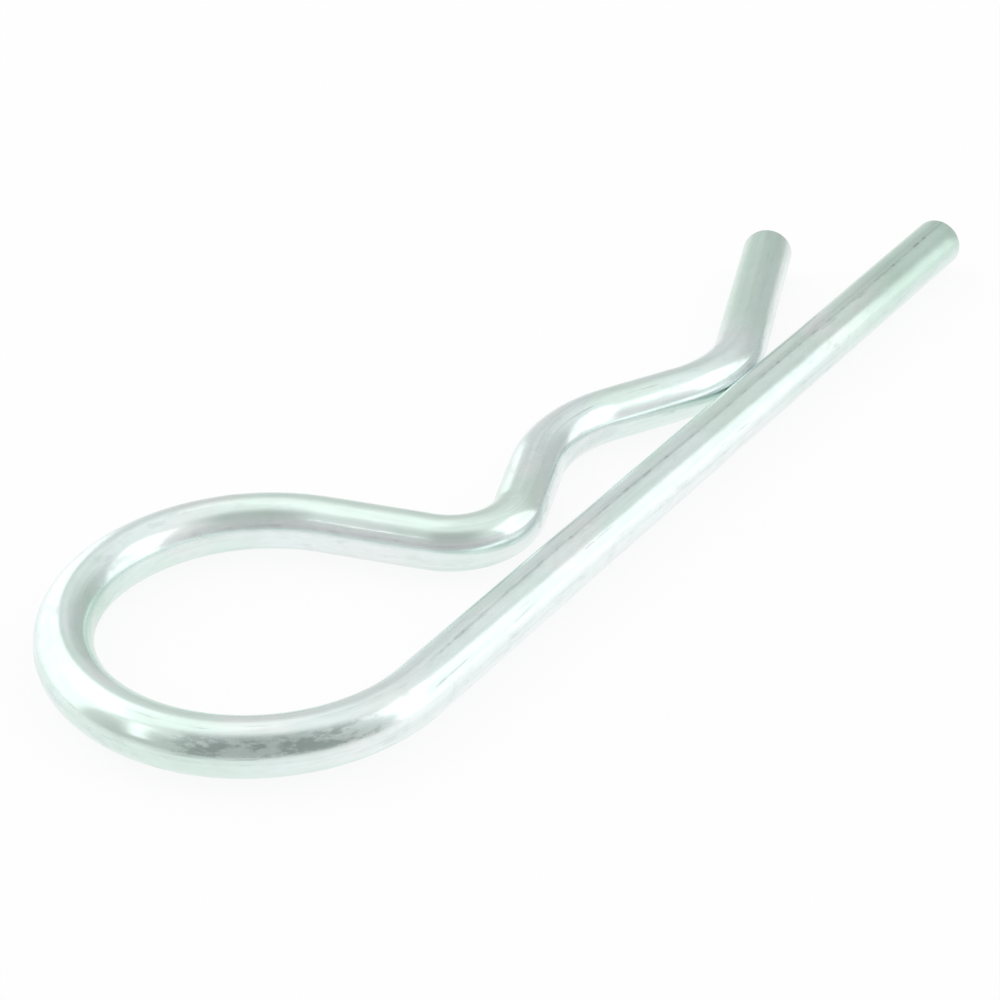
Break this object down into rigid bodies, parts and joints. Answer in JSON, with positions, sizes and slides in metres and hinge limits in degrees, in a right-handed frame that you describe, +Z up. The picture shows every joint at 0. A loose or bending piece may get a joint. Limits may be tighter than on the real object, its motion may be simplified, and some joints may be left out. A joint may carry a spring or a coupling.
{
  "type": "r clip",
  "caption": "Flat spring-wire R clip: a straight leg goes through a pin's cross hole, a wavy leg snaps over the pin, and a round bow is the spring and grip.",
  "frame": {"origin": "middle of the clip's outline, on the surface it lies on", "axes": "+X along the straight leg from the bow to its tip, +Y from the straight leg towards the wavy leg, +Z up, square to the flat of the clip"},
  "size_m": [0.0904, 0.0298, 0.004],
  "materials": {
    "zinc_plated_wire": "bright zinc plate over drawn spring wire, smooth with fine lengthwise draw lines"
  },
  "bodies": {
    "root": {"clip": "zinc_plated_wire"}
  },
  "joints": []
}
